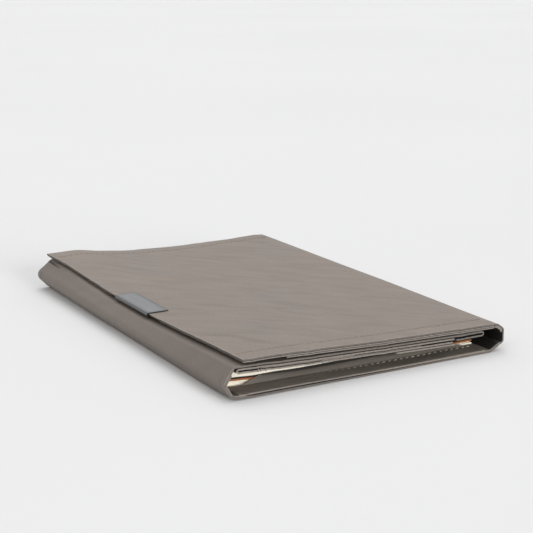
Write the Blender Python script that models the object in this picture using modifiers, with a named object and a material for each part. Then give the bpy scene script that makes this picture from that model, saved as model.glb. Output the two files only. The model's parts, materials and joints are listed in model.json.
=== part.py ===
"""A passport holder wallet: one leather-like sheet folded round two booklets, closed, lying on its back.

X runs across the wallet, from the flap's free edge to the spine; Y runs along it; Z is up. The origin is
the centre of the base. Each body's pieces hang from an empty on the axis of the joint that moves it.
"""

import math

import bmesh
import bpy
from mathutils import Vector

MM = 0.001

# Driving dimensions
LENGTH = 150 * MM
BACK_WIDTH = 90 * MM
CENTRE_X = 46.1 * MM  # from the left foot of the section to the middle of the whole width
SHEET = 0.5 * MM  # outer sheet
LINING = 0.2 * MM  # inner sheets
GAP = 0.3 * MM  # between pieces that touch on the real object
BOOKLET_WIDTH = 88 * MM
BOOKLET_LENGTH = 125 * MM
BOOKLET_INSET = 8 * MM  # from the near edge to the booklets' near end
BOOKLET_COVER = 0.2 * MM
PAGE_INSET = 0.5 * MM  # from a cover's open edges to the pages
HEM = 5.8 * MM  # from an edge to its row of stitches
THREAD_RADIUS = 0.1 * MM
CLIP_LENGTH = 27 * MM
CLIP_DEPTH = 7 * MM
CLIP_SHEET = 0.5 * MM
CARD_POCKET_STARTS = (9.5 * MM, 29 * MM, 55 * MM)
CARD_POCKET_END = 76 * MM
CARD_POCKET_LAP = 5 * MM
MAGNET_LENGTH = 24 * MM
MAGNET_THICKNESS = 0.4 * MM

NEAR = -LENGTH / 2
FAR = LENGTH / 2
WHOLE_LENGTH = (NEAR, FAR)


def section(x_mm, z_mm):
    """A point of the cross-section, x measured from the left foot of the back panel."""
    return Vector((x_mm * MM - CENTRE_X, 0, z_mm * MM))


# Creases of the outer sheet, on its outer face, from the left foot round to both free edges
LEFT_FOOT = section(0, 0)
LEFT_CREASE = section(-2.5, 5)
LEFT_TOP = section(0.4, 8.9)
FRONT_END = section(87.4, 6.9)
SPINE_FOOT = LEFT_FOOT + Vector((BACK_WIDTH, 0, 0))
SPINE_CREASE = section(95.2, 2.8)
SPINE_TOP = section(95.2, 7.1)
SHOULDER_TOP = section(92.8, 8.8)
FLAP_EDGE = section(3.4, 10.7)


def line_height(start, end):
    """The height of the straight line from start to end, as a function of x."""
    slope = (end.z - start.z) / (end.x - start.x)
    return lambda x: start.z + slope * (x - start.x)


front_top = line_height(LEFT_TOP, FRONT_END)
flap_top = line_height(FLAP_EDGE, SHOULDER_TOP)

# Booklets, thicker at their folded edge on the left than at their fore-edge
BOOKLET_LEFT = section(0.8, 0).x
BOOKLET_RIGHT = BOOKLET_LEFT + BOOKLET_WIDTH
BOOKLET_NEAR = NEAR + BOOKLET_INSET
BOOKLET_FAR = BOOKLET_NEAR + BOOKLET_LENGTH
LINING_TOP = SHEET + GAP + LINING
HEM_TOP = LINING_TOP + GAP + LINING
lower_bottom = line_height(section(0.8, 1.8), section(88.8, 1.8))
lower_top = line_height(section(0.8, 3.4), section(88.8, 3.1))
upper_bottom = line_height(section(0.8, 4.2), section(88.8, 3.9))
upper_top = line_height(section(0.8, 5.6), section(88.8, 5.05))


def clear_scene():
    for old in list(bpy.data.objects):
        bpy.data.objects.remove(old, do_unlink=True)


def make_collection(name):
    collection = bpy.data.collections.new(name)
    bpy.context.scene.collection.children.link(collection)
    return collection


def make_material(name, colour, roughness, metallic=0.0):
    material = bpy.data.materials.new(name)
    material.use_nodes = True
    shader = material.node_tree.nodes["Principled BSDF"]
    shader.inputs["Base Color"].default_value = (*colour, 1)
    shader.inputs["Roughness"].default_value = roughness
    shader.inputs["Metallic"].default_value = metallic
    return material


clear_scene()
WALLET = make_collection("passport_holder_wallet")
OUTER = make_material("outer_sheet", (0.31, 0.29, 0.26), 0.55)
INNER = make_material("inner_sheet", (0.2, 0.18, 0.16), 0.65)
THREAD = make_material("thread", (0.36, 0.34, 0.31), 0.8)
STEEL = make_material("clip_steel", (0.3, 0.3, 0.31), 0.35, 0.8)
MAGNET = make_material("magnet", (0.12, 0.12, 0.12), 0.5, 0.5)
PAPER = make_material("page_paper", (0.76, 0.71, 0.6), 0.85)
KRAFT = make_material("booklet_cover", (0.25, 0.12, 0.06), 0.6)
CREAM = make_material("cream_cover", (0.6, 0.55, 0.45), 0.75)


def make_axis(name, place, parent=None):
    """An empty on a joint's axis, from which the pieces of the body that it moves hang."""
    axis = bpy.data.objects.new(name, None)
    axis.location = place - (parent["place"] if parent else Vector())
    axis.parent = parent["empty"] if parent else None
    WALLET.objects.link(axis)
    return {"empty": axis, "place": place}


def place_object(name, data, body, material):
    """Links an object whose data is in world coordinates, hanging from its body's empty."""
    made = bpy.data.objects.new(name, data)
    made.parent = body["empty"]
    made.location = -body["place"]
    made.data.materials.append(material)
    WALLET.objects.link(made)
    return made


def solidify(made, thickness):
    thicken = made.modifiers.new("Thickness", "SOLIDIFY")
    thicken.thickness = thickness
    thicken.offset = -1
    thicken.use_even_offset = True


def surface_object(name, shape, first, outward, thickness, body, material):
    """An open surface whose face called first looks outward, thickened to its other side."""
    bmesh.ops.recalc_face_normals(shape, faces=shape.faces)
    if first.normal.dot(outward) < 0:
        bmesh.ops.reverse_faces(shape, faces=shape.faces)
    mesh = bpy.data.meshes.new(name)
    shape.to_mesh(mesh)
    shape.free()
    solidify(place_object(name, mesh, body, material), thickness)


def folded_sheet(name, line, outward, thickness, body, material, span=WHOLE_LENGTH):
    """A sheet whose outer face follows a line of the cross-section and runs along Y over the span."""
    shape = bmesh.new()
    points = [shape.verts.new((p.x, span[0], p.z)) for p in line]
    edges = [shape.edges.new(pair) for pair in zip(points, points[1:])]
    grown = bmesh.ops.extrude_edge_only(shape, edges=edges)["geom"]
    moved = [part for part in grown if isinstance(part, bmesh.types.BMVert)]
    bmesh.ops.translate(shape, verts=moved, vec=(0, span[1] - span[0], 0))
    first = edges[0].link_faces[0]
    surface_object(name, shape, first, Vector(outward), thickness, body, material)


def lofted_sheet(name, rows, thickness, body, material):
    """A sheet through rows of points, each row a (y, x_from, x_to, height) with height a function of x."""
    shape = bmesh.new()
    made = []
    for y, x_from, x_to, height in rows:
        made.append([shape.verts.new((x, y, height(x))) for x in (x_from, x_to)])
    faces = [shape.faces.new((a[0], a[1], b[1], b[0])) for a, b in zip(made, made[1:])]
    surface_object(name, shape, faces[0], Vector((0, 0, 1)), thickness, body, material)


def wedge(name, x_span, y_span, bottom, top, body, material):
    """A block whose bottom and top heights are functions of x."""
    shape = bmesh.new()
    bmesh.ops.create_cube(shape, size=2)
    for corner in shape.verts:
        x = x_span[corner.co.x > 0]
        height = top if corner.co.z > 0 else bottom
        corner.co = (x, y_span[corner.co.y > 0], height(x))
    mesh = bpy.data.meshes.new(name)
    shape.to_mesh(mesh)
    shape.free()
    place_object(name, mesh, body, material)


def thread(name, points, body):
    """A row of stitches as one straight or bent thread through the points."""
    curve = bpy.data.curves.new(name, "CURVE")
    curve.dimensions = "3D"
    curve.bevel_depth = THREAD_RADIUS
    curve.bevel_resolution = 1
    curve.use_fill_caps = True
    spline = curve.splines.new("POLY")
    spline.points.add(len(points) - 1)
    for point, place in zip(spline.points, points):
        point.co = (*place, 1)
    place_object(name, curve, body, THREAD)


def crease_cut(before, crease, after):
    """How far a panel stops short of a crease, so that its inner corner clears the next panel's."""
    turn = (crease - before).angle(after - crease)
    return SHEET * math.tan(turn / 2) + GAP / 2


def panel_line(before, start, end, after):
    """The line from start to end, pulled in at a crease wherever the sheet goes on beyond it."""
    along = (end - start).normalized()
    cut_start = crease_cut(before, start, end) if before else 0
    cut_end = crease_cut(start, end, after) if after else 0
    return [start + along * cut_start, end - along * cut_end]


def lowered(line, depth):
    return [point - Vector((0, 0, depth)) for point in line]


def on_line(height, x_from, x_to):
    return [Vector((x, 0, height(x))) for x in (x_from, x_to)]


def make_bodies():
    root = make_axis("back_origin", Vector())
    spine = make_axis("spine_axis", SPINE_CREASE, root)
    return {
        "back": root,
        "spine": spine,
        "flap": make_axis("flap_axis", SPINE_TOP, spine),
        "front": make_axis("front_axis", LEFT_TOP, root),
        "lower": make_axis("lower_booklet_axis", Vector((0, BOOKLET_NEAR, lower_bottom(0))), root),
        "upper": make_axis("upper_booklet_axis", Vector((0, BOOKLET_NEAR, upper_bottom(0))), root),
    }


def make_outer_sheet(bodies):
    """The panels between the creases, in order from the front panel round to the flap."""
    back = bodies["back"]
    panels = (
        ("left_wall_upper", LEFT_FOOT, LEFT_CREASE, LEFT_TOP, FRONT_END, (-1, 0, 0), back),
        ("left_wall_lower", SPINE_FOOT, LEFT_FOOT, LEFT_CREASE, LEFT_TOP, (-1, 0, 0), back),
        ("back_cover", LEFT_CREASE, LEFT_FOOT, SPINE_FOOT, SPINE_CREASE, (0, 0, -1), back),
        ("spine_gusset", LEFT_FOOT, SPINE_FOOT, SPINE_CREASE, SPINE_TOP, (1, 0, 0), back),
        ("spine_wall", SPINE_FOOT, SPINE_CREASE, SPINE_TOP, SHOULDER_TOP, (1, 0, 0), bodies["spine"]),
    )
    for name, before, start, end, after, outward, body in panels:
        folded_sheet(name, panel_line(before, start, end, after), outward, SHEET, body, OUTER)
    front = panel_line(LEFT_CREASE, LEFT_TOP, FRONT_END, None)
    folded_sheet("front_cover", front, (0, 0, 1), SHEET, bodies["front"], OUTER)
    shoulder = panel_line(SPINE_CREASE, SPINE_TOP, SHOULDER_TOP, None)
    folded_sheet("flap_cover", [*shoulder, FLAP_EDGE], (1, 0, 1), SHEET, bodies["flap"], OUTER)


def make_flap_inside(flap):
    """The pocket sheet under the flap: an upper leg, a loop beside the spine and a lower leg."""
    left, right = section(17, 0).x, section(91.5, 0).x
    upper = lowered(on_line(flap_top, left, right), SHEET + GAP)
    lower = lowered(upper, GAP + 2 * LINING)
    line = [upper[0], upper[1], lower[1], lower[0]]
    folded_sheet("flap_pocket", line, (0, 0, 1), LINING, flap, INNER)


def make_clip(flap):
    """A folded steel plate gripping the flap's free edge at the middle of its length."""
    stand_off = GAP + CLIP_SHEET
    left = FLAP_EDGE.x - stand_off
    right = left + CLIP_DEPTH
    top = [Vector((x, 0, flap_top(x) + stand_off)) for x in (right, left)]
    bottom = lowered(top, 2 * stand_off + SHEET)
    line = [*top, bottom[1], bottom[0]]
    span = (-CLIP_LENGTH / 2, CLIP_LENGTH / 2)
    folded_sheet("flap_clip", line, (0, 0, 1), CLIP_SHEET, flap, STEEL, span)


def make_front_inside(front):
    """Under the front panel: its lining, three staggered card pockets and the closure magnet."""
    pitch = LINING + GAP
    lining_depth = SHEET + GAP
    lining = on_line(front_top, section(11.5, 0).x, section(86.5, 0).x)
    folded_sheet("front_lining", lowered(lining, lining_depth), (0, 0, 1), LINING, front, INNER)
    ends = (*[x + CARD_POCKET_LAP for x in CARD_POCKET_STARTS[1:]], CARD_POCKET_END)
    for number, (start, end) in enumerate(zip(CARD_POCKET_STARTS, ends), 1):
        depth = lining_depth + (2 * pitch if number == 2 else pitch)
        line = on_line(front_top, start - CENTRE_X, end - CENTRE_X)
        folded_sheet(f"card_pocket_{number}", lowered(line, depth), (0, 0, 1), LINING, front, INNER)
    wedge(
        "closure_magnet",
        (section(2.8, 0).x, section(8.8, 0).x),
        (-MAGNET_LENGTH / 2, MAGNET_LENGTH / 2),
        lambda x: front_top(x) - lining_depth - MAGNET_THICKNESS,
        lambda x: front_top(x) - lining_depth,
        front,
        MAGNET,
    )


def lining_height(x):
    """The top of the back panel's lining, the same at every x."""
    return LINING_TOP


def hem_height(x):
    """The top of the pocket sheet where it is sewn down, the same at every x."""
    return HEM_TOP


def over_lower_booklet(x):
    """The top of the pocket sheet where it lies on the lower booklet."""
    return lower_top(x) + GAP + LINING


def make_back_inside(back):
    """The back panel's lining, and the pocket sewn to its near edge that holds the lower booklet."""
    lining = on_line(lining_height, section(1.5, 0).x, section(88.5, 0).x)
    folded_sheet("back_lining", lining, (0, 0, 1), LINING, back, INNER)

    hem = (section(2, 0).x, section(88, 0).x)
    waist = (section(14, 0).x, section(78, 0).x)
    hem_end, waist_start, crest = 5.2 * MM, 6.6 * MM, 7.3 * MM
    shoulder, reach = 20 * MM, 60 * MM
    rows = (
        (NEAR, *hem, hem_height),
        (NEAR + hem_end, *hem, hem_height),
        (NEAR + waist_start, *waist, hem_height),
        (NEAR + crest, *waist, over_lower_booklet),
        (NEAR + shoulder, *hem, over_lower_booklet),
        (NEAR + reach, *hem, over_lower_booklet),
    )
    lofted_sheet("passport_pocket", rows, LINING, back, INNER)


def make_booklet(name, bottom, top, body, cover_material):
    """Pages in a folded cover whose fold is on the left."""
    outline = [
        Vector((x, 0, height(x)))
        for x, height in (
            (BOOKLET_RIGHT, top),
            (BOOKLET_LEFT, top),
            (BOOKLET_LEFT, bottom),
            (BOOKLET_RIGHT, bottom),
        )
    ]
    span = (BOOKLET_NEAR, BOOKLET_FAR)
    folded_sheet(f"{name}_cover", outline, (0, 0, 1), BOOKLET_COVER, body, cover_material, span)
    inset = BOOKLET_COVER + GAP
    wedge(
        f"{name}_pages",
        (BOOKLET_LEFT + inset, BOOKLET_RIGHT - PAGE_INSET),
        (span[0] + PAGE_INSET, span[1] - PAGE_INSET),
        lambda x: bottom(x) + inset,
        lambda x: top(x) - inset,
        body,
        PAPER,
    )


def make_threads(bodies):
    """The near and far rows of stitches of the flap, the back panel and the left wall."""
    lift = GAP + THREAD_RADIUS
    lean = (LEFT_CREASE - LEFT_FOOT).normalized().z
    out = Vector((-lift / lean, 0, 0))
    low = LEFT_FOOT.lerp(LEFT_CREASE, 0.2)
    high = LEFT_CREASE.lerp(LEFT_TOP, 0.8)
    for side, y in (("near", NEAR + HEM), ("far", FAR - HEM)):
        across = Vector((0, y, 0))
        flap_row = lowered(on_line(flap_top, section(5, 0).x, section(91, 0).x), -lift)
        thread(f"flap_thread_{side}", [point + across for point in flap_row], bodies["flap"])
        surface = hem_height if side == "near" else lining_height
        back_row = lowered(on_line(surface, section(3, 0).x, section(87, 0).x), -lift)
        thread(f"back_thread_{side}", [point + across for point in back_row], bodies["back"])
        wall_row = [point + across + out for point in (low, LEFT_CREASE, high)]
        thread(f"wall_thread_{side}", wall_row, bodies["back"])


def make_wallet():
    bodies = make_bodies()
    make_outer_sheet(bodies)
    make_flap_inside(bodies["flap"])
    make_clip(bodies["flap"])
    make_front_inside(bodies["front"])
    make_back_inside(bodies["back"])
    make_booklet("lower_booklet", lower_bottom, lower_top, bodies["lower"], KRAFT)
    make_booklet("upper_booklet", upper_bottom, upper_top, bodies["upper"], CREAM)
    make_threads(bodies)


make_wallet()
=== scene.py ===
"""The looks of a passport holder wallet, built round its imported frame.

Shapes are worked out in section millimetres: u across the wallet from the left foot of its cross-section
towards the spine, v along it from the near edge, and w up from the table. at(u, v, w) turns them into metres.
"""

import json
import math

import bmesh
import bpy
import numpy as np
from mathutils import Matrix, Vector, noise


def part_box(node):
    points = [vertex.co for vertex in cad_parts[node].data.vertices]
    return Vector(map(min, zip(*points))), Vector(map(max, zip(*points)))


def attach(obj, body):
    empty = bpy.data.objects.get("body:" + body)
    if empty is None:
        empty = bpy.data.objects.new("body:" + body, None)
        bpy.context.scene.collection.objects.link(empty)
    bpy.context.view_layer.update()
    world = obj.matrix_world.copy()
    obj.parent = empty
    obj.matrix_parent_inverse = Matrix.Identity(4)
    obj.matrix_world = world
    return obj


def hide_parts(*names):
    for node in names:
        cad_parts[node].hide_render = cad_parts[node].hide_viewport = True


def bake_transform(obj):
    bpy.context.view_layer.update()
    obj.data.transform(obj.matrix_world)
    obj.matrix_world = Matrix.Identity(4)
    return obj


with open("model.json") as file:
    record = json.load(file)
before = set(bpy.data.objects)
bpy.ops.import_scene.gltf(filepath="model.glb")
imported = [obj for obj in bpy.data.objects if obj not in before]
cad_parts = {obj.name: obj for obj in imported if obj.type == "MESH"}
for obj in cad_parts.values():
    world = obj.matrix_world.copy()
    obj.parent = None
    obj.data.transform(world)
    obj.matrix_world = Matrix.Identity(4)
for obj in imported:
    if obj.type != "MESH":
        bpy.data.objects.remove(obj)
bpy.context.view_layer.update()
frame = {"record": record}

MM = 0.001
JOINTS = {joint["name"]: joint for joint in frame["record"]["behaviour"]["joints"]}

# Creases of the outer sheet in the cross-section, as (u, w)
SPINE_CREASE = (95.2, 2.8)
SPINE_TOP = (95.2, 7.1)
SPINE_MIDDLE = 4.95
SHOULDER_U = 92.8
BACK_WIDTH = 90.0
LENGTH = (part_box("back_cover")[1].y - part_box("back_cover")[0].y) / MM

FOOT_X = JOINTS["spine_hinge"]["pos_m"][0] - SPINE_CREASE[0] * MM
NEAR_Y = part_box("back_cover")[0].y
TABLE_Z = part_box("back_cover")[0].z

SHEET = 0.5  # outer sheet
HEM_SHEET = 0.3  # back lining and passport pocket
CARD_SHEET = 0.5  # card panel under the front panel
POCKET_SHEET = 0.36  # pocket under the flap
HEM = 6.2  # from an edge to its row of stitches
WALL_HEM = 3.0  # the same on the left wall
GRID = 1.0  # spacing of the points of a sheet
SEAM_U = 3.0  # where the underside is divided between the two lower pieces of the outer sheet
SEAM_LAP = 3.5  # from SEAM_U to where the lower pieces start
PANEL_GAP = 0.3  # between the front panel's outer sheet and its lining
CONTACT = 0.02  # between sheets that are sewn together
LOOP_RADIUS = 0.74  # of the front lining's fold
WALL_COLUMNS = 22  # points of the back lining on the left wall
FLAT_COLUMNS = 65  # points of the back lining from there to the bend into the gusset


def at(u, v, w):
    return Vector((FOOT_X + u * MM, NEAR_Y + v * MM, TABLE_Z + w * MM))


def across(node):
    """The u, v and w spans of a CAD node."""
    low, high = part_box(node)
    origin = Vector((FOOT_X, NEAR_Y, TABLE_Z))
    return list(zip((low - origin) / MM, (high - origin) / MM))


# ---- shape of the folded sheet


def smooth(t):
    t = min(max(t, 0.0), 1.0)
    return t * t * (3 - 2 * t)


def mix(a, b, t):
    return a + (b - a) * t


def hill(distance, width):
    return math.exp(-((distance / width) ** 2))


def through(points):
    """A smooth curve through (x, height) points, level where it would overshoot."""
    xs = [p[0] for p in points]
    ys = [p[1] for p in points]
    slopes = [(b - a) / (d - c) for a, b, c, d in zip(ys, ys[1:], xs, xs[1:])]
    tangents = [slopes[0]]
    for before, after in zip(slopes, slopes[1:]):
        flat = before * after <= 0
        tangents.append(0.0 if flat else 2 * before * after / (before + after))
    tangents.append(slopes[-1])

    def height(x):
        if x <= xs[0]:
            return ys[0] + tangents[0] * (x - xs[0])
        if x >= xs[-1]:
            return ys[-1] + tangents[-1] * (x - xs[-1])
        i = max(k for k in range(len(xs) - 1) if xs[k] <= x)
        span = xs[i + 1] - xs[i]
        t = (x - xs[i]) / span
        rise = (2 * t**3 - 3 * t**2 + 1) * ys[i] + (3 * t**2 - 2 * t**3) * ys[i + 1]
        lean = (t**3 - 2 * t**2 + t) * tangents[i] + (t**3 - t**2) * tangents[i + 1]
        return rise + lean * span

    return height


# The flap's top at its near edge, middle and far edge, and along its free edge
flap_near = through([(2, 12.0), (12, 11.8), (32, 10.95), (52, 10.05), (74, 9.55), (90, 9.15), (94, 8.8)])
flap_middle = through([(2, 9.9), (20, 10.1), (40, 10.1), (62, 9.85), (80, 9.75), (90, 9.7), (94, 9.35)])
flap_far = through([
    (2, 12.8), (11, 12.9), (22, 11.45), (36, 10.1), (54, 9.4), (78, 9.65), (90, 10.0), (94, 9.7),
])
free_edge = through([
    (0, 11.8), (20, 11.3), (46, 10.3), (62, 9.95), (92, 9.95), (108, 10.5), (135, 11.9), (150, 12.7),
])
flap_end = through([(0, 3.3), (100, 3.1), (135, 2.3), (150, 0.9)])

CLIP_V = across("flap_clip")[1]
CLIP_FLAT = 9.95  # height of the flap where the clip holds it
FOLDS = (  # faint creases across the flap, each from one (u, v) to another, and their depth
    ((5, 31), (13.5, 23), 0.16), ((12, 25), (17.5, 12.5), 0.12), ((24, 29), (32, 21.5), 0.1),
    ((27, 41), (35, 31), 0.1), ((44, 52), (55, 38), 0.09), ((20, 66), (33, 52), 0.09),
    ((58, 84), (70, 70), 0.08),
    ((34, 100), (47, 86), 0.1), ((14, 128), (28, 112), 0.12), ((52, 126), (63, 110), 0.08),
)
RIDGE = through([(0, 79), (50, 79), (80, 80), (108, 81), (134, 76), (150, 64)])


def folded(u, v):
    """How deep a faint crease is at (u, v), in millimetres; on the flap it also sets painted shade in the
    crease.
    """
    total = 0.0
    for (u_a, v_a), (u_b, v_b), depth in FOLDS:
        run = math.hypot(u_b - u_a, v_b - v_a)
        along = ((u - u_a) * (u_b - u_a) + (v - v_a) * (v_b - v_a)) / run
        off = ((u - u_a) * (v_b - v_a) - (v - v_a) * (u_b - u_a)) / run
        total += depth * hill(off, 1.0) * hill(along - run / 2, run / 2)
    return total


def wrinkles(u, v):
    """Faint creases of a stiff sheet that has been folded and handled."""
    long_waves = noise.noise(Vector((u / 34, v / 21, 3.7)))
    short_waves = noise.noise(Vector((u / 13 + v / 40, v / 9, 8.1)))
    handled = abs(noise.noise(Vector((u / 24 - v / 60, v / 17 + u / 50, 15.3))))
    edge_calm = smooth((SHOULDER_U - u) / 8)
    return (0.18 * long_waves + 0.09 * short_waves - 0.12 * hill(handled, 0.05) - folded(u, v)) * edge_calm


def flap_base(u, v):
    half = LENGTH / 2
    if v < half:
        return mix(flap_near(u), flap_middle(u), smooth(v / half))
    return mix(flap_middle(u), flap_far(u), smooth((v - half) / half))


def flap_top(u, v):
    """Height of the flap's outer face."""
    end = flap_end(v)
    edge_pull = 1 - smooth((u - end) / 24)
    height = flap_base(u, v) + (free_edge(v) - flap_base(end, v)) * edge_pull
    away = smooth(v / 30) * smooth((LENGTH - v) / 4 + 0.4)
    height += 0.22 * hill(u - RIDGE(v), 4.5) * away + wrinkles(u, v)
    low, high = CLIP_V
    beside = max(low - 2 - v, v - high - 2, 0.0) / 7
    inward = max(u - end - 8, 0.0) / 6
    held = (1 - smooth(beside)) * (1 - smooth(inward))
    return mix(height, CLIP_FLAT, held)


front_depth = through([(0, 1.7), (9, 1.85), (16, 2.15), (30, 2.1), (50, 1.95), (74, 1.95), (88, 1.75)])


def front_top(u, v):
    """Height of the front panel's outer face, under the flap and its pocket."""
    return flap_top(max(u, flap_end(v)), v) - front_depth(u)


def foot_u(v):
    return 0.5 * math.sin(math.pi * v / LENGTH) - 0.3 + 1.2 * smooth((v - 90) / 60)


def foot_radius(v):
    return mix(0.9, 2.6, smooth((v - 50) / 100))


def towards_far(v):
    """From 0 near to 1 far, for the parts of the wall that swell towards the far end."""
    return smooth((v - 20) / 120)


def left_bulge(v):
    far = towards_far(v)
    return (mix(-2.7, -4.3, far), mix(5.0, 5.5, far))


def bulge_radius(v):
    return mix(1.0, 2.4, smooth((v - 30) / 110))


def lift(u, v):
    """How far the near left corner of the wallet stands off the table."""
    return (0.35 * (1 - smooth((u - 12) / 45)) + 0.45 * (1 - smooth(u / 5))) * (1 - smooth(v / 24))


# ---- building sheets


def rounded(corners, steps=6):
    """A path through (u, w, radius) corners, each turned into an arc of the same number of points."""
    path = [Vector(corners[0][:2])]
    for before, here, after in zip(corners, corners[1:], corners[2:]):
        corner = Vector(here[:2])
        back = (Vector(before[:2]) - corner).normalized()
        on = (Vector(after[:2]) - corner).normalized()
        half = back.angle(on) / 2
        reach = here[2] / math.tan(half)
        centre = corner + (back + on).normalized() * here[2] / math.sin(half)
        start = corner + back * reach - centre
        turn = (math.pi - 2 * half) * (1 if back.x * on.y - back.y * on.x < 0 else -1)
        for step in range(steps + 1):
            path.append(centre + Matrix.Rotation(turn * step / steps, 2) @ start)
    path.append(Vector(corners[-1][:2]))
    return [(p.x, p.y) for p in path]


def filled(path, counts):
    """The path with counts[i] further points between its points i and i + 1, where counts names them."""
    full = []
    for i, (a, b) in enumerate(zip(path, path[1:])):
        extra = counts.get(i, 0)
        shares = [k / (extra + 1) for k in range(extra + 1)]
        full += [(mix(a[0], b[0], share), mix(a[1], b[1], share)) for share in shares]
    return full + [path[-1]]


def spaced(start, end, gap=GRID):
    count = max(int(round(abs(end - start) / gap)), 1)
    return [mix(start, end, k / count) for k in range(count + 1)]


RIM = ((0.0, 0.0), (0.14, 0.1), (0.5, 0.17), (0.86, 0.1), (1.0, 0.0))  # depth and swell of a cut edge


def sheet_mesh(name, grid, thickness, finishes, seams=(), wear_and_shade_lines=(), beyond=None, creases=None):
    """A closed sheet whose outer face goes through grid[row][column] = (u, v, w), with rounded cut edges.

    Rows follow each other along the sheet. seams names the sides that continue in another piece, of
    first_row, last_row, first_column and last_column. The wear lines are the columns where it is creased;
    with the cut edges they are marked for wear and for painted shade. beyond is a column and the finishes
    from there on. creases(u, v) tells how much painted shade darkens a point.
    """
    outer = np.array([[tuple(at(*point)) for point in row] for row in grid])
    rows, columns = outer.shape[:2]
    along = np.gradient(outer, axis=0)
    over = np.gradient(outer, axis=1)
    normal = np.cross(over, along)
    normal /= np.linalg.norm(normal, axis=2)[:, :, None]
    depth = thickness * MM
    step = np.linalg.norm(np.diff(outer, axis=1), axis=2)
    run = np.concatenate([np.zeros((rows, 1)), np.cumsum(step, axis=1)], axis=1)
    length = np.array([[point[1] for point in row] for row in grid]) * MM

    ring = [(0, c) for c in range(columns)]
    ring += [(r, columns - 1) for r in range(1, rows)]
    ring += [(rows - 1, c) for c in range(columns - 2, -1, -1)]
    ring += [(r, 0) for r in range(rows - 2, 0, -1)]

    def outward(r, c):
        way = np.zeros(3)
        if r == 0 and "first_row" not in seams:
            way -= along[r, c] / np.linalg.norm(along[r, c])
        if r == rows - 1 and "last_row" not in seams:
            way += along[r, c] / np.linalg.norm(along[r, c])
        if c == 0 and "first_column" not in seams:
            way -= over[r, c] / np.linalg.norm(over[r, c])
        if c == columns - 1 and "last_column" not in seams:
            way += over[r, c] / np.linalg.norm(over[r, c])
        return way

    points = [outer.reshape(-1, 3), (outer - normal * depth).reshape(-1, 3)]
    inner_start = rows * columns
    rim_start = 2 * inner_start
    swells = np.array([outward(r, c) for r, c in ring])
    for sink, swell in RIM[1:-1]:
        base = np.array([outer[r, c] - normal[r, c] * depth * sink for r, c in ring])
        points.append(base + swells * depth * swell)
    points = np.concatenate(points)

    faces, kinds = [], []
    for r in range(rows - 1):
        for c in range(columns - 1):
            a = r * columns + c
            quad = (a, a + 1, a + 1 + columns, a + columns)
            later = 3 if beyond and c >= beyond[0] else 0
            faces.append(quad)
            kinds.append(later)
            faces.append(tuple(inner_start + k for k in reversed(quad)))
            kinds.append(later + 1)
    lines = [[r * columns + c for r, c in ring]]
    for level in range(len(RIM) - 2):
        lines.append([rim_start + level * len(ring) + k for k in range(len(ring))])
    lines.append([inner_start + r * columns + c for r, c in ring])
    for upper, lower in zip(lines, lines[1:]):
        for k in range(len(ring)):
            n = (k + 1) % len(ring)
            faces.append((upper[n], upper[k], lower[k], lower[n]))
            kinds.append(5 if beyond and ring[k][1] >= beyond[0] else 2)

    mesh = bpy.data.meshes.new(name)
    mesh.from_pydata(points.tolist(), [], faces)
    mesh.update()

    place = {}
    for index, (r, c) in enumerate(ring):
        for level in range(len(RIM) - 2):
            place[rim_start + level * len(ring) + index] = (r, c)
    uv = mesh.uv_layers.new(name="UVMap")
    # Marks the cut edges and the wear lines: leather turns paler there with wear, steel darker with painted
    # shade.
    wear_and_shade = mesh.attributes.new("wear_and_shade", "FLOAT", "POINT")
    wear_and_shade_mask = np.zeros((rows, columns))
    for c in range(columns):
        for line in wear_and_shade_lines:
            wear_and_shade_mask[:, c] = np.maximum(wear_and_shade_mask[:, c], np.exp(-(((run[:, c] - run[:, line]) / (0.7 * MM)) ** 2)))
    sides = {
        "first_row": (length - length[:1]), "last_row": (length[-1:] - length),
        "first_column": run, "last_column": run[:, -1:] - run,
    }
    for side, far in sides.items():
        if side not in seams:
            wear_and_shade_mask = np.maximum(wear_and_shade_mask, np.exp(-((np.abs(far) / (0.8 * MM)) ** 2)))
    values = np.ones(len(points))
    values[:inner_start] = wear_and_shade_mask.ravel()
    values[inner_start:rim_start] = wear_and_shade_mask.ravel() * 0.6
    wear_and_shade.data.foreach_set("value", values.astype(np.float32))
    for loop in mesh.loops:
        index = loop.vertex_index
        if index < rim_start:
            r, c = divmod(index % inner_start, columns)
        else:
            r, c = place[index]
        uv.data[loop.index].uv = (run[r, c] / MM / 100, length[r, c] / MM / 100)
    # creases gives the painted shade at each point of the outer face.
    if creases:
        depths = np.zeros(len(points), dtype=np.float32)
        depths[:inner_start] = [creases(point[0], point[1]) for row in grid for point in row]
        mesh.attributes.new("painted_shade", "FLOAT", "POINT").data.foreach_set("value", depths)
    for finish in (*finishes, *(beyond[1] if beyond else ())):
        mesh.materials.append(finish)
    mesh.polygons.foreach_set("material_index", np.array(kinds, dtype=np.int32))
    mesh.polygons.foreach_set("use_smooth", [True] * len(faces))
    mesh.set_sharp_from_angle(angle=math.radians(48))
    made = bpy.data.objects.new(name, mesh)
    bpy.context.scene.collection.objects.link(made)
    return made


# ---- materials


def start_material(name):
    material = bpy.data.materials.new(name)
    material.use_nodes = True
    tree = material.node_tree
    return material, tree, tree.nodes["Principled BSDF"]


def add(tree, kind, inputs=(), **settings):
    node = tree.nodes.new(kind)
    for name, value in settings.items():
        setattr(node, name, value)
    for name, value in dict(inputs).items():
        if isinstance(value, bpy.types.NodeSocket):
            tree.links.new(value, node.inputs[name])
        else:
            node.inputs[name].default_value = value
    return node


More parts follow.
